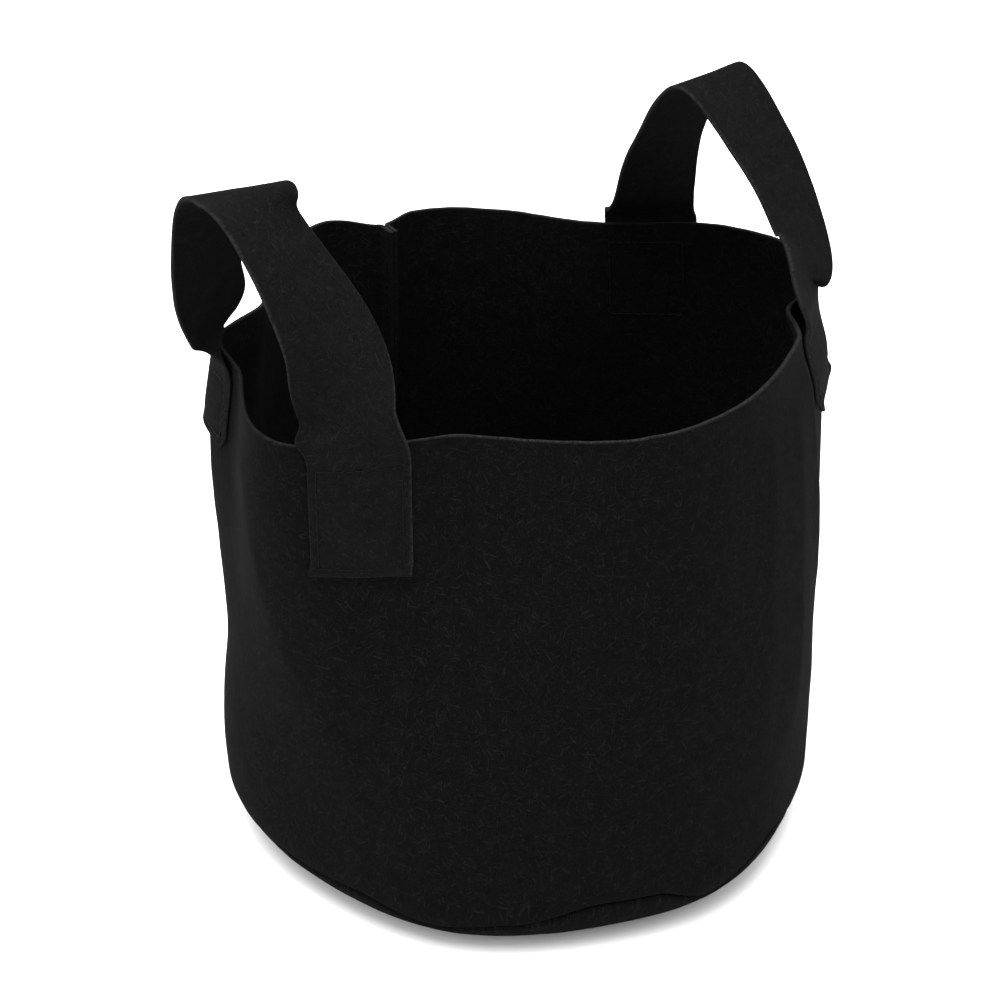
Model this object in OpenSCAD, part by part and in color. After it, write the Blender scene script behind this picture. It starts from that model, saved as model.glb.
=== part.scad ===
// Fabric grow bag: a felt pot with a sewn-in round base and two flat strap handles.
// The origin is the middle of the base's underside, +Z is up, the handles are on +X
// and -X, and the wall's one upright seam is near +Y.

/* [Bag] */
// Outside diameter of the wall where it is round
bag_d = 250; // [230:5:270]
// Height of the cut rim above the ground
rim_z = 230; // [215:1:240]
// Radius of the rounded bottom edge
corner_r = 28; // [24:1:32]
// Thickness of the felt
felt_t = 2; // [1.6:0.1:2.4]
// How strongly the mouth waves out of round, as a share of its stored shape
mouth_wave = 1; // [0.8:0.05:1.1]

/* [Seams] */
// Width of the edges that are turned inside along a seam
allowance = 9; // [7:1:11]
// Distance of a seam's stitches from the seam line
stitch_depth = 5; // [4:0.5:6]
// Radius of the sewing thread
thread_r = 0.4; // [0.3:0.05:0.5]
// Room left between two layers that are sewn together
layer_gap = 0.3; // [0.2:0.05:0.4]

/* [Handles] */
// Width of the felt strap
strap_w = 38; // [34:1:42]
// Thickness of the felt strap
strap_t = 2; // [1.6:0.1:2.4]
// Height of the handle's top above the rim
handle_rise = 87; // [80:1:95]
// Length of the left handle's front end below the rim
left_front_len = 54; // [50:1:60]
// Length of the left handle's rear end below the rim
left_rear_len = 35; // [30:1:60]
// Length of the right handle's front end below the rim
right_front_len = 38; // [30:1:60]
// Length of the right handle's rear end below the rim
right_rear_len = 47; // [30:1:60]
// Distance of the box stitching's top row below the rim
box_top = 9; // [8:1:12]
// Distance of the box stitching from the strap's edges
box_inset = 3; // [2.5:0.5:4]
// Half the angle between the right handle's two sewn ends
right_spread = 27.5; // [25:0.5:29]
// Half the angle between the left handle's two sewn ends
left_spread = 25.5; // [24:0.5:28]
// Angle of the left handle's middle, counted round from the right one's
left_middle = 183.5; // [180:0.5:186]

/* [Hidden] */

FELT = "#262626";
STRAP = "#2e2e2e";
THREAD = "#161616";

bag_r = bag_d / 2;
seam_a = 87;            // where the wall's upright seam stands
calm_z = 60;            // below this height the wall is round
seam_tilt = -30;        // the base seam faces this far below level

// Crests and hollows of the mouth: [angle, percent of the radius out of round].
MOUTH = [
    [2, 10], [41, -16], [78, -3], [seam_a, -8], [96, 5], [137, -15], [155, -3],
    [168, -5], [195, 11], [227, -17], [269, -7], [305, -10], [320, -9],
];

// Middle line of each handle from its front end to its rear end:
// [share of half the span, out from the span, share of the rise, turn of the width].
RIGHT_LOOP = [
    [-0.9, 3, 0.17, 45], [-0.74, 6, 0.32, 28], [-0.44, -2, 0.7, 21], [0.03, -10, 0.98, 12],
    [0.5, -10, 0.58, 4], [0.79, -5, 0.26, -10], [0.9, -3, 0.14, -34],
];
LEFT_LOOP = [
    [-0.93, 4, 0.115, 53], [-0.77, 5, 0.46, 4], [-0.38, 15, 0.9, -24], [-0.01, 13, 0.99, 14],
    [0.46, 10, 0.84, 6], [0.76, 9, 0.42, -22], [0.96, -1, 0.13, -33],
];

RIGHT_ENDS = [-right_spread, right_spread];
LEFT_ENDS = [left_middle + left_spread, left_middle - left_spread];

wall_steps = 120;       // facets round the wall
wall_levels = 12;       // rows of facets from the rounded edge to the rim
loop_steps = 7;         // sections in each stretch of a handle
end_steps = 8;          // facets across a strap end
tube_sides = 6;         // sides of a thread

// ---- helpers ----

function smooth_step(t) = let (c = max(0, min(1, t))) c * c * (3 - 2 * c);
function mix(a, b, t) = a + (b - a) * t;
function around(r, a) = [r * cos(a), r * sin(a)];
function unit(v) = v / norm(v);

// Percent by which the mouth is out of round at angle a, easing from crest to hollow.
function mouth_share(a) =
    let (
        from = MOUTH[0][0],
        turn = (a - from) - 360 * floor((a - from) / 360),
        i = max([for (k = [0 : len(MOUTH) - 1]) if (MOUTH[k][0] - from <= turn) k]),
        j = (i + 1) % len(MOUTH),
        start = MOUTH[i][0] - from,
        stop = j == 0 ? 360 : MOUTH[j][0] - from
    )
    mix(MOUTH[i][1], MOUTH[j][1], smooth_step((turn - start) / (stop - start)));

// Outside radius of the wall at angle a and height z, from the rounded edge to the rim.
function wall_r(a, z) =
    let (sway = smooth_step((z - calm_z) / (rim_z - calm_z)))
    bag_r * (1 + mouth_wave * mouth_share(a) / 100 * sway);

// A point off the wall's outside by a distance, measured straight out from the axis.
function wall_point(a, z, off) = let (p = around(wall_r(a, z) + off, a)) [p.x, p.y, z];

// The base seam line and its two directions, in [radius, height].
seam_out = around(1, seam_tilt);
seam_up = [-seam_out.y, seam_out.x];
seam_line = [bag_r - corner_r, corner_r] + corner_r * seam_out;

// A smooth curve through points, passing through each one.
function curve_point(p, i, t) =
    let (
        n = len(p) - 1,
        a = i > 0 ? p[i - 1] : 2 * p[0] - p[1],
        b = p[i],
        c = p[i + 1],
        d = i < n - 1 ? p[i + 2] : 2 * p[n] - p[n - 1]
    )
    (2 * b + (c - a) * t + (2 * a - 5 * b + 4 * c - d) * t * t
        + (3 * b - a - 3 * c + d) * t * t * t) / 2;
function curve(p, steps) = concat(
    [for (i = [0 : len(p) - 2], k = [0 : steps - 1]) curve_point(p, i, k / steps)],
    [p[len(p) - 1]]);

// Direction of a path at point i.
function along(p, i, closed) =
    let (n = len(p))
    unit(closed ? p[(i + 1) % n] - p[(i + n - 1) % n]
                : p[min(i + 1, n - 1)] - p[max(i - 1, 0)]);

// Faces of a skin over rings of `sides` points each, which run anticlockwise seen from the
// end that the rings lead to.
function skin_faces(rings, sides, closed) = [
    for (i = [0 : rings - (closed ? 1 : 2)], k = [0 : sides - 1])
        let (
            a = i * sides + k,
            b = i * sides + (k + 1) % sides,
            c = (i + 1) % rings * sides + (k + 1) % sides,
            d = (i + 1) % rings * sides + k
        )
        each [[a, c, b], [a, d, c]]
];

// Solid swept through rings of points, with flat ends unless the path is closed.
module sweep(rings, closed = false) {
    sides = len(rings[0]);
    last = (len(rings) - 1) * sides;
    ends = closed ? [] : [
        [for (k = [0 : sides - 1]) k],
        [for (k = [sides - 1 : -1 : 0]) last + k],
    ];
    polyhedron(
        points = [for (ring = rings) each ring],
        faces = concat(skin_faces(len(rings), sides, closed), ends),
        convexity = 10);
}

// Round thread along a path; `face` gives the direction away from the cloth at each point.
module thread(path, face, closed = false) {
    sweep([
        for (i = [0 : len(path) - 1])
            let (
                ahead = along(path, i, closed),
                side = unit(cross(face[i], ahead)),
                out = cross(ahead, side)
            )
            [for (k = [0 : tube_sides - 1])
                let (a = 360 * k / tube_sides)
                path[i] + thread_r * (cos(a) * side + sin(a) * out)]
    ], closed);
}

// ---- wall ----

// The wall's outer and inner skins are rings of the same number of points. The last two
// points of a ring are the groove outside, and the tip of the turned-in edges inside.
edge_a = felt_t / bag_r * 180 / PI;      // half the turned-in edges' angle
tip_share = 0.85;
groove = 1.6;

function ring_angles(tip) = concat(
    [for (i = [0 : wall_steps]) seam_a + edge_a + i * (360 - 2 * edge_a) / wall_steps],
    [seam_a + 360 - edge_a * tip, seam_a + 360 + edge_a * tip]);

// One ring at height z; its last two points are sunk inwards.
function ring_at(radii, z, angles, sink) = [
    for (k = [0 : len(angles) - 1])
        let (p = around(radii[k] - (k > wall_steps ? sink : 0), angles[k]))
        [p.x, p.y, z]
];

outer_angles = ring_angles(tip_share / 3);
inner_angles = ring_angles(tip_share);
seam_fade = [for (i = [0 : wall_levels]) smooth_step((i + 1) / 3)];

// Profile of the wall's foot: turned-in edge, seam line, then up the rounded edge.
foot_outer = concat(
    [seam_line - allowance * seam_out, seam_line],
    [for (tilt = [seam_tilt / 2, 0]) [bag_r - corner_r, corner_r] + around(corner_r, tilt)]);
foot_inner = concat(
    [seam_line - allowance * seam_out + felt_t * seam_up,
        seam_line - felt_t * seam_out + felt_t * seam_up],
    [for (tilt = [seam_tilt / 2, 0])
        [bag_r - corner_r, corner_r] + around(corner_r - felt_t, tilt)]);

function level_z(i) = mix(corner_r, rim_z, i / wall_levels);
function foot_ring(profile, angles) = [
    for (p = profile) ring_at([for (a = angles) p.x], p.y, angles, 0)
];
function wall_rings(angles, off, sink) = [
    for (i = [1 : wall_levels])
        ring_at([for (a = angles) wall_r(a, level_z(i)) - off], level_z(i), angles,
            sink * seam_fade[i])
];

module wall_panel() {
    outer = concat(foot_ring(foot_outer, outer_angles), wall_rings(outer_angles, 0, groove));
    inner = concat(foot_ring(foot_inner, inner_angles),
        wall_rings(inner_angles, felt_t, allowance));
    sides = len(outer_angles);
    rings = len(outer);
    inside = rings * sides;
    top = (rings - 1) * sides;
    lips = [
        for (k = [0 : sides - 1])
            let (n = (k + 1) % sides)
            each [
                [top + k, inside + top + k, top + n],
                [top + n, inside + top + k, inside + top + n],
                [k, n, inside + k],
                [n, inside + n, inside + k],
            ]
    ];
    color(FELT)
        polyhedron(
            points = [for (ring = concat(outer, inner)) each ring],
            faces = concat(
                skin_faces(rings, sides, false),
                [for (f = skin_faces(rings, sides, false)) inside * [1, 1, 1] + [f[2], f[1], f[0]]],
                lips),
            convexity = 10);
}

// ---- base ----

module base_disc() {
    centre = [bag_r - corner_r, corner_r];
    join = seam_line - layer_gap * seam_up;
    color(FELT)
        rotate_extrude($fn = 96)
            polygon(concat(
                [[0, 0]],
                [for (tilt = [-90 : 10 : seam_tilt - 10]) centre + around(corner_r, tilt)],
                [join, join - allowance * seam_out,
                    join - allowance * seam_out - felt_t * seam_up,
                    join - felt_t * seam_out - felt_t * seam_up],
                [for (tilt = [seam_tilt - 20 : -10 : -90])
                    centre + around(corner_r - felt_t, tilt)],
                [[0, felt_t]]));
}

// ---- handles ----

// A point on a sewn strap end: u across the strap, z up, off out from the wall. The angle
// that u takes up depends on how steeply the wall runs out from the axis there.
function end_point(middle, u, z, off) =
    let (
        reach = 5,
        slope = (wall_r(middle + reach, z) - wall_r(middle - reach, z)) / (2 * reach),
        step = norm([wall_r(middle, z) * PI / 180, slope])
    )
    wall_point(middle + u / step, z, off);

module strap_end(middle, length) {
    rows = [for (i = [0 : end_steps]) strap_w * (i / end_steps - 0.5)];
    levels = [for (i = [0 : 4]) rim_z - length + i * length / 4];
    color(STRAP)
        sweep([
            for (z = levels) concat(
                [for (u = rows) end_point(middle, u, z, layer_gap + strap_t)],
                [for (i = [end_steps : -1 : 0]) end_point(middle, rows[i], z, layer_gap)])
        ]);
}

// Places the points of a loop over the span between its two ends. side is +1 or -1 along X.
function loop_points(list, ends, side) =
    let (
        front = wall_point(ends[0], rim_z, 0),
        rear = wall_point(ends[1], rim_z, 0),
        half = (rear - front) / 2
    )
    [for (p = list) (front + rear) / 2 + p[0] * half + [side * p[1], 0, p[2] * handle_rise]];

module strap_loop(list, ends, side) {
    path = curve(loop_points(list, ends, side), loop_steps);
    turns = curve([for (p = list) p[3]], loop_steps);
    color(STRAP)
        sweep([
            for (i = [0 : len(path) - 1])
                let (
                    ahead = along(path, i, false),
                    wide = [side * cos(turns[i]), sin(turns[i]), 0],
                    thick = unit(cross(ahead, wide)) * strap_t / 2,
                    across = unit(cross(thick, ahead)) * strap_w / 2
                )
                [path[i] - across - thick, path[i] + across - thick,
                    path[i] + across + thick, path[i] - across + thick]
        ]);
}

// ---- stitching ----

// Corner-to-corner path of a box stitch on a strap end of some length, as [u, z].
function box_path(length) =
    let (
        u = strap_w / 2 - box_inset,
        low = rim_z - length + box_inset,
        high = rim_z - box_top,
        n = 7
    )
    concat(
        [for (i = [0 : n - 1]) [mix(-u, u, i / n), low]],
        [for (i = [0 : n - 1]) [u, mix(low, high, i / n)]],
        [for (i = [0 : n - 1]) [mix(u, -u, i / n), high]],
        [for (i = [0 : n - 1]) [-u, mix(high, low, i / n)]]);

module box_thread(middle, length, off) {
    path = [for (p = box_path(length)) end_point(middle, p[0], p[1], off)];
    color(THREAD) thread(path, [for (p = path) unit([p.x, p.y, 0])], closed = true);
}
module box_needle_thread(middle, length) { box_thread(middle, length, layer_gap + strap_t); }
module box_bobbin_thread(middle, length) { box_thread(middle, length, -felt_t); }

// Upright thread on one side of the wall's turned-in edges; side is -1 or +1.
module wall_seam_thread(side) {
    levels = [for (i = [4 : wall_levels]) level_z(i) - (i == wall_levels ? 3 : 0)];
    path = [for (z = levels)
        [wall_r(seam_a, z) - felt_t - stitch_depth, -side * felt_t * (1 + tip_share) / 2, z]];
    color(THREAD) rotate(seam_a) thread(path, [for (p = path) [0, -side, 0]]);
}
module wall_seam_needle_thread() { wall_seam_thread(-1); }
module wall_seam_bobbin_thread() { wall_seam_thread(1); }

// Thread ring on the turned-in edges of the base seam, up from the seam plane by a distance.
module base_seam_thread(up) {
    place = seam_line - stitch_depth * seam_out + up * seam_up;
    color(THREAD) rotate_extrude($fn = 96) translate(place) circle(thread_r, $fn = 24);
}
module base_seam_needle_thread() { base_seam_thread(felt_t); }
module base_seam_bobbin_thread() { base_seam_thread(-layer_gap - felt_t); }

// ---- assembly ----

wall_panel();
base_disc();
strap_loop(LEFT_LOOP, LEFT_ENDS, -1);  // left_handle_loop
strap_end(LEFT_ENDS[0], left_front_len);  // left_handle_front_end
strap_end(LEFT_ENDS[1], left_rear_len);  // left_handle_rear_end
strap_loop(RIGHT_LOOP, RIGHT_ENDS, 1);  // right_handle_loop
strap_end(RIGHT_ENDS[0], right_front_len);  // right_handle_front_end
strap_end(RIGHT_ENDS[1], right_rear_len);  // right_handle_rear_end
wall_seam_needle_thread();
wall_seam_bobbin_thread();
base_seam_needle_thread();
base_seam_bobbin_thread();
box_needle_thread(LEFT_ENDS[0], left_front_len);  // left_front_needle_thread
box_bobbin_thread(LEFT_ENDS[0], left_front_len);  // left_front_bobbin_thread
box_needle_thread(LEFT_ENDS[1], left_rear_len);  // left_rear_needle_thread
box_bobbin_thread(LEFT_ENDS[1], left_rear_len);  // left_rear_bobbin_thread
box_needle_thread(RIGHT_ENDS[0], right_front_len);  // right_front_needle_thread
box_bobbin_thread(RIGHT_ENDS[0], right_front_len);  // right_front_bobbin_thread
box_needle_thread(RIGHT_ENDS[1], right_rear_len);  // right_rear_needle_thread
box_bobbin_thread(RIGHT_ENDS[1], right_rear_len);  // right_rear_bobbin_thread
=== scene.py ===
"""Looks of the fabric grow bag: felt wall and base, two strap handles and their stitching.

Lengths are in millimetres until new_mesh() turns them into metres. Angles round the bag are in
degrees, counted from +X towards +Y, and heights are above the ground, as in the CAD model.
"""

import math

import bmesh
import bpy
import numpy as np
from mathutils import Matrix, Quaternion, Vector, noise


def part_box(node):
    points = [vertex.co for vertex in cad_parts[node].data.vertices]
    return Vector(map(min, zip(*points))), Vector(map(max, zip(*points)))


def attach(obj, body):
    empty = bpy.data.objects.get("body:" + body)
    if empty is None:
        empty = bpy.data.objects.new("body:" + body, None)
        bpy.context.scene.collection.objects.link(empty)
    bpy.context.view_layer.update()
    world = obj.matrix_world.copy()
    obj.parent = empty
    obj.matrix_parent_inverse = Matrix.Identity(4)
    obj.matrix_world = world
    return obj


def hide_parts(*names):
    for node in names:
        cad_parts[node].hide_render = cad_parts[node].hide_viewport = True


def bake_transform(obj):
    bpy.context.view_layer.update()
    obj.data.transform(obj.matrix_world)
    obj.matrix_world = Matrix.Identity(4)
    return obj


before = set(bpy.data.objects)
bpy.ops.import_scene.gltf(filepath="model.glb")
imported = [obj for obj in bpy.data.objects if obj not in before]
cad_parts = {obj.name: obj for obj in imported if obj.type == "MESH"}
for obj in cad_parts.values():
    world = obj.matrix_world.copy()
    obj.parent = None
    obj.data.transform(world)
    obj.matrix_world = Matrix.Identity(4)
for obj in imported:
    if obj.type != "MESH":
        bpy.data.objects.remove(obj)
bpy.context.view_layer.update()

MM = 0.001

# ---- sizes, as in the CAD model ----

BAG_R = 125.0
RIM_Z = 1000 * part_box("wall_panel")[1].z
CORNER_R = 28.0
CALM_Z = 60.0  # below this height the wall is round
FELT = 2.0
HALF = FELT / 2
ALLOWANCE = 9.0  # width of the edges turned inside at a seam
STITCH_DEPTH = 5.0  # of a seam's stitches from the seam line
LAYER_GAP = 0.3
STRAP_W = 38.0
HANDLE_RISE = 87.0
BOX_TOP = 9.0  # of the box stitching below the rim
BOX_INSET = 3.0  # of the box stitching from the strap's edges
SEAM_ANGLE = 87.0

# ---- sizes of the looks alone ----

STITCH = 3.7  # length of one stitch
THREAD_R = 0.3
THREAD_SIDES = 6
BUCKLE_DEPTH = 7.0
BUCKLE_HEIGHT = 20.0  # how far the buckle reaches down from the rim
BUCKLE_SPREAD = 5.0  # of its angle
FOLD_R = 1.5  # of the middle of the felt where it turns in at a seam
FOLD_GAP = HALF + 0.1  # from a seam's middle plane to the middle of the felt
SEAM_FADE = 45.0  # height over which the upright seam comes out of the base seam
LOWEST = 6.0  # below this height the slack of the wall stays the same
LIP = 0.35  # how far a cut edge bulges
BACK_CLOTH = 500.0  # shift that gives the two faces of a piece different fibres

WALL_COLUMNS = 560
WALL_ROWS = 100
BASE_COLUMNS = 360
STRAP_STEP = 1.5  # between the rows of points along a strap
STRAP_BEND = 24.0  # length over which a strap comes free of the wall

# ---- shapes, as lists of stops ----

# Crests and hollows of the mouth: (angle, percent of the radius out of round).
MOUTH = [
    (2, 10), (41, -16), (78, -3), (SEAM_ANGLE, -8), (96, 5), (137, -15), (155, -3),
    (168, -5), (195, 11), (227, -17), (269, -7), (305, -10), (320, -9),
]
# The base seam wanders up and down the rounded edge: (angle, degrees below level).
BASE_SEAM = [
    (20, -30), (90, -26), (150, -32), (188, -24), (203, -20), (219, -36),
    (235, -26), (253, -9), (264, -10), (277, -34), (295, -8), (318, -26),
]
# Slack in the wall: (angle, height, outward, spread of the angle, spread of the height).
SWELLS = [
    (152, 178, 4.0, 24, 42), (334, 178, 6.0, 24, 48), (150, 98, -0.6, 16, 13),
    (160, 45, 3.0, 20, 30), (190, 20, -7.0, 22, 50), (250, 15, -5.5, 16, 50),
    (305, 25, -2.7, 12, 40), (140, 120, -3.2, 14, 30), (60, 120, -2.0, 18, 45),
    (20, 30, -3.0, 20, 40), (100, 60, -1.5, 12, 50),
]
# Smaller unevenness, as layers of noise: (height, size of the lumps, seed).
WALL_RIPPLE = ((0.7, 42, 1), (0.22, 13, 2))
RIM_RIPPLE = ((0.7, 30, 5), (0.3, 8, 6))
# Soft upright creases: (stops of (angle, height) from the top, height of the ridge, width).
CREASES = [
    ([(184, 205), (189, 152), (196, 116), (203, 66)], 1.6, 16),
    ([(297, 205), (294, 150), (291, 90)], 0.8, 9),
    ([(309, 195), (307, 130), (303, 70)], 1.0, 8),
    ([(319, 228), (320, 160), (323, 110)], 1.5, 6),
    ([(40, 215), (44, 150), (42, 90)], 1.2, 14),
    ([(128, 210), (124, 150), (127, 80)], 1.0, 12),
]

# Middle line of each handle from its front end to its rear end:
# (share of half the span, out from the span, share of the rise, turn of the width).
RIGHT_LOOP = [
    (-1.0, -2, 0.14, 41), (-0.74, 6, 0.316, 28), (-0.44, -2, 0.696, 21), (0.03, -10, 0.975, 12),
    (0.5, -10, 0.58, 4), (0.79, -5, 0.2, -8), (0.94, -1, 0.08, -29),
]
LEFT_LOOP = [
    (-0.92, 3, 0.115, 53), (-0.73, 4, 0.458, 3), (-0.31, 16, 0.92, -26), (0.01, 15, 1.0, 10),
    (0.43, 11, 0.84, 7), (0.75, 9, 0.424, -22), (0.97, -1, 0.132, -33),
]
# The sewn ends of each handle, front and rear: (angle, length below the rim).
RIGHT_ENDS = ((-27.5, 38.0), (27.5, 47.0))
LEFT_ENDS = ((209.0, 54.0), (158.0, 35.0))

# Shades of each felt: its dark fibres, its light fibres and its cut edges, which are paler partly
# for their fuzz and partly as a painted highlight.
FELT_SHADES = ((0.0014, 0.0014, 0.0014), (0.0034, 0.0034, 0.0035), (0.0135, 0.0135, 0.014))
STRAP_SHADES = ((0.0021, 0.0021, 0.0021), (0.0049, 0.0049, 0.005), (0.0135, 0.0135, 0.014))
# Shades of the thread, between its plies and on them.
THREAD_SHADES = ((0.0015, 0.0015, 0.0015), (0.004, 0.004, 0.0041))


# ---- helpers ----


def ease(t):
    t = np.clip(t, 0, 1)
    return t * t * (3 - 2 * t)


def eased_between(angle, stops):
    """Value at an angle, easing from stop to stop round the full turn."""
    places = np.array([place for place, _ in stops] + [stops[0][0] + 360.0])
    values = np.array([value for _, value in stops] + [stops[0][1]], float)
    turn = (angle - places[0]) % 360 + places[0]
    k = np.clip(np.searchsorted(places, turn, side="right") - 1, 0, len(stops) - 1)
    return values[k] + (values[k + 1] - values[k]) * ease(
        (turn - places[k]) / (places[k + 1] - places[k])
    )


def apart(a, b):
    """Signed difference of two angles, from -180 to 180."""
    return (a - b + 180) % 360 - 180


def bell(x, spread):
    return np.exp(-0.5 * (x / spread) ** 2)


def direction(angle):
    return np.stack([np.cos(np.radians(angle)), np.sin(np.radians(angle))], -1)


def rough(points, size, seed):
    """Smooth noise from -1 to 1 at an array of points, with lumps of about that size."""
    flat = np.asarray(points, float).reshape(-1, 3) / size + seed * 17.3
    values = np.array([noise.noise(Vector(p)) for p in flat])
    return values.reshape(np.shape(points)[:-1])


def ripple(points, layers):
    return sum(height * rough(points, size, seed) for height, size, seed in layers)


def unit(v):
    return v / np.linalg.norm(v, axis=-1, keepdims=True)


def new_mesh(name, points, faces, uv, cut, material):
    """Object from points in millimetres; uv is in millimetres of cloth, cut marks raw edges."""
    mesh = bpy.data.meshes.new(name)
    mesh.from_pydata((np.asarray(points) * MM).tolist(), [], faces)
    bm = bmesh.new()
    bm.from_mesh(mesh)
    bmesh.ops.recalc_face_normals(bm, faces=bm.faces)
    bm.to_mesh(mesh)
    bm.free()
    layer = mesh.uv_layers.new(name="cloth")
    corner = np.zeros(len(mesh.loops), np.int32)
    mesh.loops.foreach_get("vertex_index", corner)
    layer.data.foreach_set("uv", np.asarray(uv, np.float32)[corner].ravel())
    attribute = mesh.attributes.new("cut", "FLOAT", "POINT")
    attribute.data.foreach_set("value", np.asarray(cut, np.float32))
    mesh.polygons.foreach_set("use_smooth", [True] * len(mesh.polygons))
    mesh.materials.append(material)
    obj = bpy.data.objects.new(name, mesh)
    bpy.context.scene.collection.objects.link(obj)
    return obj


def outline(rows, cols):
    """Grid places round a rows x cols grid, with the place one step further in for each."""
    top = [(0, c) for c in range(cols)]
    right = [(r, cols - 1) for r in range(1, rows)]
    bottom = [(rows - 1, c) for c in range(cols - 2, -1, -1)]
    left = [(r, 0) for r in range(rows - 2, 0, -1)]
    places = top + right + bottom + left
    inner = [(min(max(r, 1), rows - 2), min(max(c, 1), cols - 2)) for r, c in places]
    return places, inner


def felt_sheet(name, outer, inner, uv, material, side_cut):
    """Closed sheet of felt between two skins, each rows x cols points, with rounded cut edges.
    The first row's edge is fully pale, and side_cut is how pale the other edges are; the paleness
    is partly fuzz and partly painted highlight."""
    rows, cols = outer.shape[:2]
    places, nearby = outline(rows, cols)
    edge = np.array(places)
    inward = np.array(nearby)
    middle = (outer + inner) / 2
    at_edge = middle[edge[:, 0], edge[:, 1]]
    away = unit(at_edge - middle[inward[:, 0], inward[:, 1]])
    lip = at_edge + LIP * away
    index = np.arange(rows * cols).reshape(rows, cols)
    back = index + rows * cols
    faces = []
    for skin in (index, back):
        a, b, c, d = skin[:-1, :-1], skin[:-1, 1:], skin[1:, 1:], skin[1:, :-1]
        faces += np.stack([a, b, c, d], -1).reshape(-1, 4).tolist()
    start = 2 * rows * cols
    count = len(places)
    for k in range(count):
        n = (k + 1) % count
        here, there = index[places[k]], index[places[n]]
        under, beyond = back[places[k]], back[places[n]]
        faces.append([here, there, start + n, start + k])
        faces.append([start + k, start + n, beyond, under])
    points = np.concatenate([outer.reshape(-1, 3), inner.reshape(-1, 3), lip])
    shown = np.where(edge[:, 0] == 0, 1.0, side_cut)
    cut = np.zeros(len(points))
    cut[start:] = shown
    cut[index[edge[:, 0], edge[:, 1]]] = 0.3 * shown
    cut[back[edge[:, 0], edge[:, 1]]] = 0.3 * shown
    flat = uv.reshape(-1, 2)
    cloth = np.concatenate([flat, flat + BACK_CLOTH, uv[edge[:, 0], edge[:, 1]]])
    return new_mesh(name, points, faces, cloth, cut, material)


# ---- shape of the wall ----


def wall_radius(angle, z):
    """Outside radius of the wall, as in the CAD model."""
    sway = ease((z - CALM_Z) / (RIM_Z - CALM_Z))
    return BAG_R * (1 + eased_between(angle, MOUTH) / 100 * sway)


def swell(angle, z):
    """How far the slack cloth stands out from the plain wall. It dies away at the rim."""
    out = sum(
        rise * bell(apart(angle, a), da) * bell(z - height, dz)
        for a, height, rise, da, dz in SWELLS
    )
    return out * (1 - ease((z - RIM_Z + 30) / 30))


def crease(angle, z):
    """Ridges of the soft creases."""
    out = 0
    for stops, rise, width in CREASES:
        heights = [h for _, h in stops[::-1]]
        line = np.interp(z, heights, [a for a, _ in stops[::-1]])
        across = np.radians(apart(angle, line)) * BAG_R
        soft = np.sqrt(across**2 + 9) - 3
        reach = ease((heights[-1] + 20 - z) / 30) * ease((z - heights[0] + 20) / 40)
        out = out + rise * np.exp(-soft / width) * reach
    return out


def buckle(angle, z):
    """The rim's small inward buckle behind the right handle's front end."""
    hollow = BUCKLE_DEPTH * bell(apart(angle, RIGHT_ENDS[0][0]), BUCKLE_SPREAD)
    return hollow * ease((z - RIM_Z + BUCKLE_HEIGHT) / BUCKLE_HEIGHT)


def wall_out(angle, z):
    """All that moves the wall straight out from the plain upright cylinder, apart from the
    buckle."""
    foot = direction(angle) * BAG_R
    place = np.concatenate([foot, np.broadcast_to(z, angle.shape)[..., None]], -1)
    plain = wall_radius(angle, z) - BAG_R
    return plain + swell(angle, z) + crease(angle, z) + ripple(place, WALL_RIPPLE)


def wall_skin(angle, z, off):
    """Points a distance off the wall's outside, passing over its buckle."""
    angle, z = np.broadcast_arrays(np.asarray(angle, float), np.asarray(z, float))
    r = BAG_R + wall_out(angle, z) + off
    return np.concatenate([direction(angle) * r[..., None], z[..., None]], -1)


def seam_frame(angle):
    """The base seam at an angle: its tilt, its outward and upward directions in (radius,
    height), and how far up and out from the rounded edge's centre the felt's fold is."""
    tilt = np.radians(eased_between(angle, BASE_SEAM))
    out = np.stack([np.cos(tilt), np.sin(tilt)], -1)
    up = np.stack([-out[..., 1], out[..., 0]], -1)
    lift = FOLD_GAP + FOLD_R
    reach = math.sqrt((CORNER_R - HALF - FOLD_R) ** 2 - lift**2)
    return tilt, out, up, lift, reach


def edge_profile(angle, side):
    """Middle line of the felt from the rounded edge's start to the tip of the turned-in edge,
    as (radius, height) points and directions, rows first. side is 1 for the wall, -1 for the
    base."""
    tilt, out, up, lift, reach = seam_frame(angle)
    centre = np.array([BAG_R - CORNER_R, CORNER_R])
    fold = centre + reach * out + side * lift * up
    leave = tilt + side * math.atan2(lift, reach)
    first = 0.0 if side > 0 else -math.pi / 2
    rows = []
    for t in np.linspace(0, 1, 12)[:-1]:
        turn = first + (leave - first) * t
        way = np.stack([np.cos(turn), np.sin(turn)], -1)
        rows.append((centre + (CORNER_R - HALF) * way, way))
    stop = tilt - side * math.pi / 2
    for t in np.linspace(0, 1, 8):
        turn = leave + (stop - leave) * t
        way = np.stack([np.cos(turn), np.sin(turn)], -1)
        rows.append((fold + FOLD_R * way, way))
    end, way = rows[-1]
    for t in np.linspace(0, 1, 6)[1:]:
        rows.append((end - t * (reach - CORNER_R + ALLOWANCE) * out, way))
    return np.array([p for p, _ in rows]), np.array([w for _, w in rows])


# ---- felt pieces ----


def seam_columns():
    """Columns of the wall's turned-in upright edge, from its tip to the wall, as
    (sideways, inwards, outward part and sideways part of the direction)."""
    tip = [(FOLD_GAP, d, 0.0, -1.0) for d in np.linspace(ALLOWANCE, FOLD_R, 6)[:-1]]
    bend = [
        (
            FOLD_GAP + FOLD_R * (1 - math.cos(t)),
            FOLD_R * (1 - math.sin(t)),
            math.sin(t),
            -math.cos(t),
        )
        for t in np.linspace(0, math.pi / 2, 6)
    ]
    return np.array(tip + bend)


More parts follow.
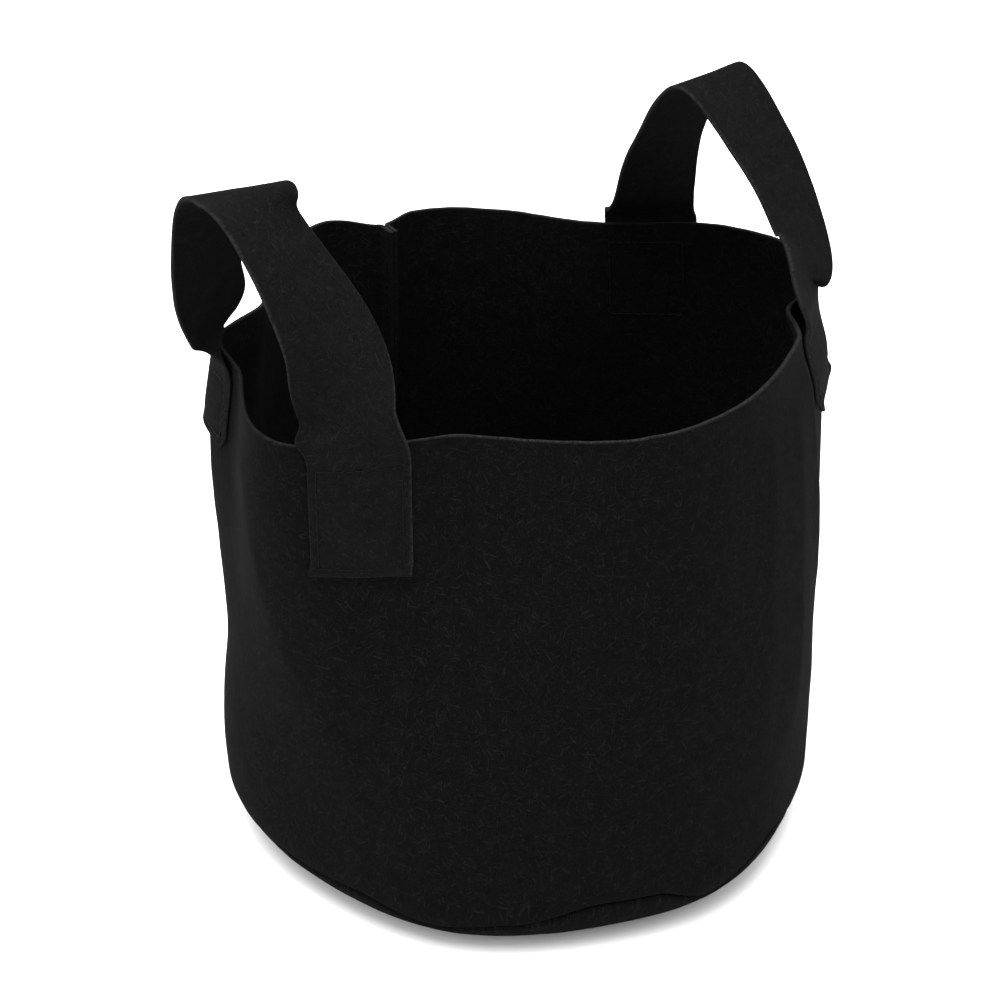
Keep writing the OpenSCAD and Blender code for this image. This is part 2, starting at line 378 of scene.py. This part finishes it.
def build_wall(material):
    """The wall: one panel bent round, its two upright edges turned in and sewn together, and
    its bottom edge turned in along the base seam."""
    turned = seam_columns()
    count = len(turned)
    flat_u = np.linspace(0.15, FOLD_GAP + FOLD_R, count)
    margin = math.degrees((FOLD_GAP + FOLD_R + 1) / BAG_R)
    plain = np.linspace(SEAM_ANGLE + margin, SEAM_ANGLE + 360 - margin, WALL_COLUMNS)
    zero = np.zeros_like(plain)
    # Place and direction of each column at the upright seam, where its two edges are turned
    # in, and as laid flat round the base seam, where they only meet.
    side_u = np.concatenate([turned[:, 0], zero, -turned[::-1, 0]])
    side_in = np.concatenate([turned[:, 1], zero, turned[::-1, 1]])
    side_out = np.concatenate([turned[:, 2], zero + 1, turned[::-1, 2]])
    side_way = np.concatenate([turned[:, 3], zero, -turned[::-1, 3]])
    flat = np.concatenate([flat_u, zero, -flat_u[::-1]])
    base_angle = np.concatenate(
        [np.full(count, SEAM_ANGLE), plain, np.full(count, SEAM_ANGLE + 360)]
    )
    cols = len(base_angle)
    shown_angle = base_angle + np.degrees(flat / BAG_R)

    drop = np.concatenate([[0, 0.0025], np.linspace(0.01, 1, WALL_ROWS)])
    foot = np.concatenate([direction(shown_angle), np.zeros((cols, 1))], -1)
    dip = 0.6 * bell(apart(shown_angle, SEAM_ANGLE), 3.0)
    rim = RIM_Z + ripple(foot * BAG_R, RIM_RIPPLE) - dip
    upright_z = rim[None, :] + (CORNER_R - rim[None, :]) * drop[:, None]
    upright = np.stack([np.full_like(upright_z, BAG_R - HALF), upright_z], -1)
    level = np.stack([np.ones_like(upright_z), np.zeros_like(upright_z)], -1)
    edge_points, edge_ways = edge_profile(shown_angle, 1)
    line = np.concatenate([upright, edge_points[1:]])
    way = np.concatenate([level, edge_ways[1:]])

    # How much of its turned-in place a column has, from none at the base seam.
    share = ease((line[..., 1] - CORNER_R) / SEAM_FADE)
    u = flat + (side_u - flat) * share
    inward = side_in * share
    out_part = 1 + (side_out - 1) * share
    side_part = side_way * share
    length = np.sqrt(out_part**2 + side_part**2)
    out_part, side_part = out_part / length, side_part / length
    turn = np.broadcast_to(shown_angle, share.shape)
    moved = wall_out(turn, np.maximum(line[..., 1], LOWEST)) - buckle(turn, line[..., 1])
    radial = direction(base_angle)
    sideways = np.stack([-radial[:, 1], radial[:, 0]], -1)
    skins = []
    for h in (HALF, -HALF):
        r = line[..., 0] + moved - inward + h * way[..., 0] * out_part
        s = u + h * side_part
        xy = r[..., None] * radial + s[..., None] * sideways
        z = line[..., 1] + h * way[..., 1] * out_part
        skins.append(np.concatenate([xy, z[..., None]], -1))
    run = np.cumsum(np.linalg.norm(np.diff(line[:, cols // 2], axis=0), axis=-1))
    across = np.radians(shown_angle) * BAG_R + side_in * np.sign(flat)
    uv = np.stack(np.broadcast_arrays(across[None, :], -np.insert(run, 0, 0)[:, None]), -1)
    return felt_sheet("wall_felt", skins[0], skins[1], uv, material, 0.2)


def build_base(material):
    """The base: a disc whose rim curls up to the seam, with its edge turned in."""
    angle = np.arange(BASE_COLUMNS) * 360.0 / BASE_COLUMNS
    edge_points, edge_ways = edge_profile(angle, -1)
    ring_r = np.concatenate([np.linspace(2, 94, 36), edge_points[0, :1, 0]])
    flat_r = np.broadcast_to(ring_r[:, None], (len(ring_r), len(angle)))
    flat = np.stack([flat_r, np.full_like(flat_r, HALF)], -1)
    down = np.stack([np.zeros_like(flat_r), -np.ones_like(flat_r)], -1)
    line = np.concatenate([flat, edge_points[1:]])
    way = np.concatenate([down, edge_ways[1:]])
    turn = np.broadcast_to(angle, line.shape[:2])
    moved = wall_out(turn, np.maximum(line[..., 1], LOWEST))
    moved = moved * ease(line[..., 0] / (BAG_R - CORNER_R))
    radial = direction(angle)
    skins = []
    for h in (HALF, -HALF):
        r = line[..., 0] + moved + h * way[..., 0]
        z = line[..., 1] + h * way[..., 1]
        skins.append(np.concatenate([r[..., None] * radial, z[..., None]], -1))
    # Where the base lies flat, its upper face is a little uneven.
    uneven = 0.45 * (1 + rough(skins[1], 35, 8))
    skins[1][..., 2] += uneven * ease((100 - line[..., 0]) / 30)
    rows, cols = line.shape[:2]
    index = np.arange(rows * cols).reshape(rows, cols)
    faces = []
    for skin in (index, index + rows * cols):
        after = np.roll(skin, -1, axis=1)
        faces += np.stack(
            [skin[:-1], after[:-1], after[1:], skin[1:]], -1
        ).reshape(-1, 4).tolist()
        faces.append(skin[0].tolist())
    tip = (skins[0][-1] + skins[1][-1]) / 2
    inner = (skins[0][-2] + skins[1][-2]) / 2
    start = 2 * rows * cols
    lip = start + np.arange(cols)
    for edge in (index[-1], index[-1] + rows * cols):
        faces += np.stack(
            [edge, np.roll(edge, -1), np.roll(lip, -1), lip], -1
        ).tolist()
    points = np.concatenate(
        [skins[0].reshape(-1, 3), skins[1].reshape(-1, 3), tip + LIP * unit(tip - inner)]
    )
    cut = np.zeros(len(points))
    cut[start:] = 1
    cloth = points[:, :2].copy()
    cloth[rows * cols : start] += BACK_CLOTH
    return new_mesh("base_felt", points, faces, cloth, cut, material)


def smooth_line(stops, steps):
    """Points of a smooth curve through the stops, passing through each one."""
    stops = np.asarray(stops, float)
    ends = [2 * stops[0] - stops[1]], [2 * stops[-1] - stops[-2]]
    p = np.concatenate([ends[0], stops, ends[1]])
    t = (np.arange(steps) / steps)[:, None]
    parts = [
        (2 * b + (c - a) * t + (2 * a - 5 * b + 4 * c - d) * t**2 + (3 * b - a - 3 * c + d) * t**3)
        / 2
        for a, b, c, d in zip(p, p[1:], p[2:], p[3:])
    ]
    return np.concatenate(parts + [stops[-1:]])


def box_distance(u, z, length):
    """Distance of a place on a strap end from its box of stitches."""
    half = STRAP_W / 2 - BOX_INSET
    low, high = RIM_Z - length + BOX_INSET, RIM_Z - BOX_TOP
    middle, tall = (low + high) / 2, (high - low) / 2
    dx, dz = np.abs(u) - half, np.abs(z - middle) - tall
    outside = np.hypot(np.maximum(dx, 0), np.maximum(dz, 0))
    return np.abs(outside + np.minimum(np.maximum(dx, dz), 0))


def end_turn(angle, side):
    """Turn of the width of a strap end sewn on at an angle: positive in front."""
    away = apart(angle, 0 if side > 0 else 180)
    return (90 - abs(away)) * (1 if direction(angle)[1] < 0 else -1)


def end_angle(middle, u, z):
    """Angle of a place at u across a strap end. It depends on how steeply the wall runs out
    from the axis there."""
    reach = 5.0
    slope = wall_radius(middle + reach, z) - wall_radius(middle - reach, z)
    step = np.hypot(wall_radius(middle, z), slope / np.radians(2 * reach))
    return middle + np.degrees(u / step)


def strap_end_skin(end, sign, u, z):
    """Outer and inner skin of a strap end at u across and height z."""
    middle, length = end
    u, z = np.broadcast_arrays(u, z)
    angle = end_angle(middle, sign * u, np.minimum(z, RIM_Z))
    press = 0.35 * np.exp(-((box_distance(u, z, length) / 1.2) ** 2))
    low = ease((RIM_Z - length + BOX_INSET + 1.5 - z) / 4)
    corner = 1.2 * low * ease((np.abs(u) - 9) / 10)
    flare = 0.5 * low + corner
    off = LAYER_GAP + flare
    return wall_skin(angle, z, off + FELT - press), wall_skin(angle, z, off)


def push_outside(skins):
    """Moves the parts of a strap that are below the rim, or just above it, out of the wall."""
    inner = skins[1]
    z = inner[..., 2]
    r = np.linalg.norm(inner[..., :2], axis=-1)
    angle = np.degrees(np.arctan2(inner[..., 1], inner[..., 0]))
    needed = BAG_R + wall_out(angle, np.minimum(z, RIM_Z)) + LAYER_GAP
    push = np.maximum(needed - r, 0) * ease((RIM_Z + 7 - z) / 6)
    for skin in skins:
        skin[..., :2] += push[..., None] * direction(angle)


def build_strap(name, ends, loop, side, seed, material):
    """One strap: sewn end, loop and sewn end in one strip of felt."""
    rim = [wall_skin(a, RIM_Z, 0.0) for a, _ in ends]
    middle, half = (rim[0] + rim[1]) / 2, (rim[1] - rim[0]) / 2
    free = [
        middle + p[0] * half + np.array([side * p[1], 0, p[2] * HANDLE_RISE]) for p in loop
    ]
    sewn = []
    for a, length in ends:
        heights = np.linspace(RIM_Z - length, RIM_Z - BOX_TOP, 4)
        turn = end_turn(a, side)
        sewn.append([np.append(wall_skin(a, z, LAYER_GAP + HALF), turn) for z in heights])
    stops = sewn[0] + [np.append(p, q[3]) for p, q in zip(free, loop)] + sewn[1][::-1]
    dense = smooth_line(stops, 24)
    run = np.insert(np.cumsum(np.linalg.norm(np.diff(dense[:, :3], axis=0), axis=1)), 0, 0)
    total = run[-1]
    inside = np.linspace(STRAP_STEP, total - STRAP_STEP, int(total / STRAP_STEP))
    place = np.concatenate([[0, 0.5], inside, [total - 0.5, total]])
    path = np.stack([np.interp(place, run, dense[:, k]) for k in range(4)], -1)
    centre, turn = path[:, :3], np.radians(path[:, 3])
    ahead = unit(np.gradient(centre, place, axis=0))
    wide = np.stack([side * np.cos(turn), np.sin(turn), np.zeros_like(turn)], -1)
    out = -side * unit(np.cross(ahead, wide))
    across = unit(np.cross(out, ahead)) * -side
    half_w = STRAP_W / 2
    right_half = np.array([0.21, 0.42, 0.63, 0.78, 0.84, 0.9, 0.97, 1])
    u = half_w * np.concatenate([-right_half[::-1], [0], right_half])
    # The nearer end's distance along the strap, and the same measured from the rim.
    first = np.arange(len(place)) < len(place) / 2
    near = np.where(first, place, total - place)
    above = near - np.where(first, ends[0][1], ends[1][1])
    loose = ease((above + BOX_TOP) / 30)
    strip = centre[:, None] + u[None, :, None] * across[:, None]
    wave = ripple(strip, ((0.9, 34, seed), (0.25, 11, seed + 1)))
    cupped = 1.1 * loose * np.interp(place, [0, total / 2, total], [1, 0.2, 1])
    lift = cupped[:, None] * ((u / half_w) ** 2 - 0.3) + wave * loose[:, None]
    strip = strip + lift[..., None] * out[:, None]
    skins = [strip + HALF * out[:, None], strip - HALF * out[:, None]]
    # Held flat on the wall up to its top row of stitches, then coming free.
    held = 1 - ease((above + BOX_TOP) / STRAP_BEND)
    for end, rows, tip in ((ends[0], first, 0), (ends[1], ~first, -1)):
        way = direction(end[0])
        sign = np.sign(np.dot(across[tip], [-way[1], way[0], 0]))
        z = RIM_Z + above[rows]
        pressed = strap_end_skin(end, sign, u[None, :], z[:, None])
        weight = held[rows][:, None, None]
        for k in (0, 1):
            skins[k][rows] = skins[k][rows] * (1 - weight) + pressed[k] * weight
    push_outside(skins)
    uv = np.stack(np.broadcast_arrays(u[None, :], place[:, None]), -1) + 80 * seed
    return felt_sheet(name, skins[0], skins[1], uv, material, 1.0)


# ---- stitching ----


def stitch_row(name, points, out, material, closed):
    """Single stitches from point to point of a row, each a short thread that dips at its ends."""
    follow = np.roll(points, -1, axis=0) if closed else points[1:]
    start = points if closed else points[:-1]
    normal = unit(out if closed else out[:-1])
    ahead = unit(follow - start)
    side = unit(np.cross(normal, ahead))
    up = np.cross(ahead, side)
    share = np.linspace(0.03, 0.97, 7)
    lift = 0.62 * np.sin(np.pi * share) ** 0.5 - 0.42
    middle = start[:, None] + share[None, :, None] * (follow - start)[:, None]
    middle = middle + lift[None, :, None] * up[:, None]
    turn = np.arange(THREAD_SIDES) * 2 * np.pi / THREAD_SIDES
    ring = THREAD_R * (
        np.cos(turn)[:, None] * side[:, None] + np.sin(turn)[:, None] * up[:, None]
    )
    rings = middle[:, :, None] + ring[:, None]
    count, steps, sides = rings.shape[:3]
    index = np.arange(count * steps * sides).reshape(count, steps, sides)
    after = np.roll(index, -1, axis=2)
    faces = np.stack(
        [index[:, :-1], after[:, :-1], after[:, 1:], index[:, 1:]], -1
    ).reshape(-1, 4).tolist()
    faces += index[:, 0].tolist() + index[:, -1].tolist()
    run = np.arange(count)[:, None, None] * STITCH + share[None, :, None] * STITCH
    uv = np.stack(np.broadcast_arrays(run, turn[None, None, :]), -1).reshape(-1, 2)
    points = rings.reshape(-1, 3)
    return new_mesh(name, points, faces, uv, np.zeros(len(points)), material)


def box_row(length):
    """Ends of the stitches round a strap end's box, as (u, z)."""
    half = STRAP_W / 2 - BOX_INSET
    low, high = RIM_Z - length + BOX_INSET, RIM_Z - BOX_TOP
    corners = [(-half, low), (half, low), (half, high), (-half, high), (-half, low)]
    places = []
    for a, b in zip(corners, corners[1:]):
        count = round(math.dist(a, b) / STITCH)
        places += [
            (a[0] + (b[0] - a[0]) * k / count, a[1] + (b[1] - a[1]) * k / count)
            for k in range(count)
        ]
    return np.array(places)


def build_box_stitches(name, end, material):
    row = box_row(end[1])
    outer, _ = strap_end_skin(end, 1, row[:, 0], row[:, 1])
    angle = end_angle(end[0], row[:, 0], row[:, 1])
    out = np.concatenate([direction(angle), np.zeros((len(row), 1))], -1)
    inner = wall_skin(angle, row[:, 1], -FELT)
    inner[:, :2] -= buckle(angle, row[:, 1])[:, None] * direction(angle)
    return [
        stitch_row(name + "_needle_stitches", outer, out, material, True),
        stitch_row(name + "_bobbin_stitches", inner, -out, material, True),
    ]


def build_wall_seam_stitches(material):
    z = np.arange(RIM_Z - 3, 92, -STITCH)
    way = direction(SEAM_ANGLE)
    sideways = np.array([-way[1], way[0], 0])
    made = []
    for name, side in (("needle", 1), ("bobbin", -1)):
        points = wall_skin(np.full_like(z, SEAM_ANGLE), z, -FELT - STITCH_DEPTH)
        points += side * (FOLD_GAP + HALF) * sideways
        out = np.tile(side * sideways, (len(z), 1))
        made.append(stitch_row(f"wall_seam_{name}_stitches", points, out, material, False))
    return made


def build_base_seam_stitches(material):
    count = round(2 * math.pi * (BAG_R - STITCH_DEPTH) / STITCH)
    angle = np.arange(count) * 360.0 / count
    _, out, up, _, _ = seam_frame(angle)
    made = []
    for name, side in (("needle", 1), ("bobbin", -1)):
        place = np.array([BAG_R - CORNER_R, CORNER_R]) + (CORNER_R - STITCH_DEPTH) * out
        place = place + side * (FOLD_GAP + HALF) * up
        r = place[:, 0] + wall_out(angle, np.maximum(place[:, 1], LOWEST))
        points = np.concatenate([direction(angle) * r[:, None], place[:, 1:]], -1)
        face = np.concatenate([direction(angle) * up[:, :1], up[:, 1:]], -1) * side
        made.append(stitch_row(f"base_seam_{name}_stitches", points, face, material, True))
    return made


# ---- materials ----


def math_node(tree, operation, a, b):
    made = tree.nodes.new("ShaderNodeMath")
    made.operation = operation
    for socket, value in zip(made.inputs, (a, b)):
        if isinstance(value, (int, float)):
            socket.default_value = value
        else:
            tree.links.new(value, socket)
    return made.outputs[0]


def largest(tree, layers):
    top = layers[0]
    for layer in layers[1:]:
        top = math_node(tree, "MAXIMUM", top, layer)
    return top


def mixed(tree, amount, first, second):
    """Colour that goes from the first to the second; the first may be a node's output."""
    mix = tree.nodes.new("ShaderNodeMix")
    mix.data_type = "RGBA"
    tree.links.new(amount, mix.inputs["Factor"])
    if isinstance(first, tuple):
        mix.inputs["A"].default_value = (*first, 1)
    else:
        tree.links.new(first, mix.inputs["A"])
    mix.inputs["B"].default_value = (*second, 1)
    return mix.outputs["Result"]


def add_bump(tree, shader, height, strength, depth):
    bump = tree.nodes.new("ShaderNodeBump")
    bump.inputs["Strength"].default_value = strength
    bump.inputs["Distance"].default_value = depth * MM
    tree.links.new(height, bump.inputs["Height"])
    tree.links.new(bump.outputs[0], shader.inputs["Normal"])


def fibre_layer(tree, cloth, turn, fine, long, low, high):
    """Thin fibres lying in one direction, as a mask from 0 to 1. fine and long are how many
    there are to a millimetre across and along."""
    place = tree.nodes.new("ShaderNodeMapping")
    place.vector_type = "TEXTURE"
    place.inputs["Rotation"].default_value = (0, 0, math.radians(turn))
    place.inputs["Scale"].default_value = (1 / fine, 1 / long, 1)
    tree.links.new(cloth, place.inputs["Vector"])
    grain = tree.nodes.new("ShaderNodeTexNoise")
    grain.noise_dimensions = "2D"
    grain.inputs["Scale"].default_value = 1
    grain.inputs["Detail"].default_value = 1
    grain.inputs["Distortion"].default_value = 0.6
    tree.links.new(place.outputs[0], grain.inputs["Vector"])
    ramp = tree.nodes.new("ShaderNodeMapRange")
    ramp.interpolation_type = "SMOOTHSTEP"
    ramp.inputs["From Min"].default_value = low
    ramp.inputs["From Max"].default_value = high
    tree.links.new(grain.outputs["Fac"], ramp.inputs["Value"])
    return ramp.outputs[0]


def felt_material(name, dark, light, edge):
    """Needle-punched felt: matted fibres in all directions, a few paler loose ones, and a paler
    cut edge, whose paleness is partly its fuzz and partly a painted highlight."""
    material = bpy.data.materials.new(name)
    material.use_nodes = True
    tree = material.node_tree
    shader = tree.nodes["Principled BSDF"]
    cloth = tree.nodes.new("ShaderNodeUVMap")
    cloth.uv_map = "cloth"
    cloth = cloth.outputs[0]
    fine = [fibre_layer(tree, cloth, turn, 2.6, 0.3, 0.5, 0.68) for turn in (12, 58, 101, 149)]
    mat = largest(tree, fine)
    loose = [fibre_layer(tree, cloth, turn, 1.5, 0.2, 0.69, 0.76) for turn in (33, 82, 127, 171)]
    stray = largest(tree, loose)
    blotch = tree.nodes.new("ShaderNodeTexNoise")
    blotch.noise_dimensions = "2D"
    blotch.inputs["Scale"].default_value = 0.11
    blotch.inputs["Detail"].default_value = 3
    tree.links.new(cloth, blotch.inputs["Vector"])
    lightness = math_node(
        tree, "ADD",
        math_node(tree, "MULTIPLY", mat, 0.45),
        math_node(tree, "MULTIPLY", blotch.outputs["Fac"], 0.55),
    )
    body = mixed(tree, lightness, dark, light)
    strayed = mixed(tree, math_node(tree, "MULTIPLY", stray, 0.3), body, edge)
    cut = tree.nodes.new("ShaderNodeAttribute")
    cut.attribute_name = "cut"
    # Cut edges are mixed towards the paler edge shade: partly their fuzz, partly a painted
    # highlight where light catches them.
    fuzz_and_highlight = math_node(tree, "MULTIPLY", cut.outputs["Fac"], math_node(tree, "ADD", mat, 0.35))
    tree.links.new(mixed(tree, fuzz_and_highlight, strayed, edge), shader.inputs["Base Color"])
    shader.inputs["Roughness"].default_value = 0.95
    shader.inputs["Specular IOR Level"].default_value = 0.01
    shader.inputs["Sheen Weight"].default_value = 0.004
    shader.inputs["Sheen Roughness"].default_value = 0.45
    height = math_node(
        tree, "ADD",
        math_node(tree, "ADD", math_node(tree, "MULTIPLY", mat, 0.5), stray),
        math_node(tree, "MULTIPLY", blotch.outputs["Fac"], 1.5),
    )
    add_bump(tree, shader, height, 0.5, 0.35)
    return material


def thread_material():
    """Black twisted thread: its plies show as slanted bands."""
    material = bpy.data.materials.new("thread")
    material.use_nodes = True
    tree = material.node_tree
    shader = tree.nodes["Principled BSDF"]
    cloth = tree.nodes.new("ShaderNodeUVMap")
    cloth.uv_map = "cloth"
    plies = tree.nodes.new("ShaderNodeTexWave")
    plies.bands_direction = "DIAGONAL"
    plies.inputs["Scale"].default_value = 1.1
    plies.inputs["Distortion"].default_value = 0.4
    tree.links.new(cloth.outputs[0], plies.inputs["Vector"])
    body = mixed(tree, plies.outputs["Fac"], *THREAD_SHADES)
    tree.links.new(body, shader.inputs["Base Color"])
    shader.inputs["Roughness"].default_value = 0.6
    shader.inputs["Specular IOR Level"].default_value = 0.05
    add_bump(tree, shader, plies.outputs["Fac"], 0.6, 0.1)
    return material


# ---- stage ----


def build_floor():
    """Pale studio floor."""
    size = 12.0
    mesh = bpy.data.meshes.new("floor")
    corners = [(-size, -size, 0), (size, -size, 0), (size, size, 0), (-size, size, 0)]
    mesh.from_pydata(corners, [], [(0, 1, 2, 3)])
    material = bpy.data.materials.new("floor")
    material.use_nodes = True
    shader = material.node_tree.nodes["Principled BSDF"]
    shader.inputs["Base Color"].default_value = (0.9, 0.9, 0.9, 1)
    shader.inputs["Roughness"].default_value = 0.9
    shader.inputs["Specular IOR Level"].default_value = 0.1
    mesh.materials.append(material)
    floor = bpy.data.objects.new("floor", mesh)
    bpy.context.scene.collection.objects.link(floor)


def add_light(name, place, target, size, power):
    light = bpy.data.lights.new(name, "AREA")
    light.shape = "RECTANGLE"
    light.size, light.size_y = size
    light.energy = power
    obj = bpy.data.objects.new(name, light)
    obj.location = place
    obj.rotation_mode = "QUATERNION"
    obj.rotation_quaternion = (Vector(target) - Vector(place)).to_track_quat("-Z", "Y")
    bpy.context.scene.collection.objects.link(obj)


def build_lights():
    """Soft studio light: a wide box overhead, and one on each side of the camera."""
    world = bpy.data.worlds.new("studio")
    world.use_nodes = True
    world.node_tree.nodes["Background"].inputs["Color"].default_value = (1, 1, 1, 1)
    world.node_tree.nodes["Background"].inputs["Strength"].default_value = 1.5
    bpy.context.scene.world = world
    middle = (0, 0, 0.12)
    add_light("overhead", (-0.3, -0.2, 2.2), middle, (2.0, 2.0), 100)
    add_light("left_box", (-1.9, 0.3, 1.0), middle, (1.2, 1.4), 8)
    add_light("right_box", (1.2, -1.3, 1.1), middle, (1.0, 1.2), 2)


def build_camera():
    """Camera at the bag's front left, looking down on it."""
    turn = math.radians(-33)
    rise = math.radians(28.6)
    roll = math.radians(-0.26)
    distance = 1.25
    target = Vector((-6.1, 3.9, 147.5)) * MM
    back = Vector(
        (math.sin(turn) * math.cos(rise), -math.cos(turn) * math.cos(rise), math.sin(rise))
    )
    data = bpy.data.cameras.new("camera")
    data.sensor_width = 36
    data.lens = 108.2
    camera = bpy.data.objects.new("camera", data)
    camera.location = target + back * distance
    camera.rotation_mode = "QUATERNION"
    look = (-back).to_track_quat("-Z", "Y")
    camera.rotation_quaternion = look @ Quaternion((0, 0, 1), roll)
    bpy.context.scene.collection.objects.link(camera)
    bpy.context.scene.camera = camera


# ---- assembly ----

bpy.context.scene.view_settings.view_transform = "Standard"
bpy.context.scene.view_settings.look = "None"
build_camera()
build_lights()
build_floor()

wall_material = felt_material("felt", *FELT_SHADES)
strap_material = felt_material("strap", *STRAP_SHADES)
stitch_material = thread_material()

wall = build_wall(wall_material)
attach(wall, "bag")
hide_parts("wall_panel")

base = build_base(wall_material)
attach(base, "bag")
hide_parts("base_disc")

for side_name, ends, loop, side, seed, length in (
    ("left", LEFT_ENDS, LEFT_LOOP, -1, 11, 0.286),
    ("right", RIGHT_ENDS, RIGHT_LOOP, 1, 21, 0.275),
):
    body = f"{side_name}_handle"
    strap = build_strap(f"{body}_strap", ends, loop, side, seed, strap_material)
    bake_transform(strap)
    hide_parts(f"{body}_loop", f"{body}_front_end", f"{body}_rear_end")

rows = build_wall_seam_stitches(stitch_material) + build_base_seam_stitches(stitch_material)
for name, end in (
    ("left_front", LEFT_ENDS[0]),
    ("left_rear", LEFT_ENDS[1]),
    ("right_front", RIGHT_ENDS[0]),
    ("right_rear", RIGHT_ENDS[1]),
):
    rows += build_box_stitches(name, end, stitch_material)
for row in rows:
    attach(row, "bag")
    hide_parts(row.name.replace("stitches", "thread"))
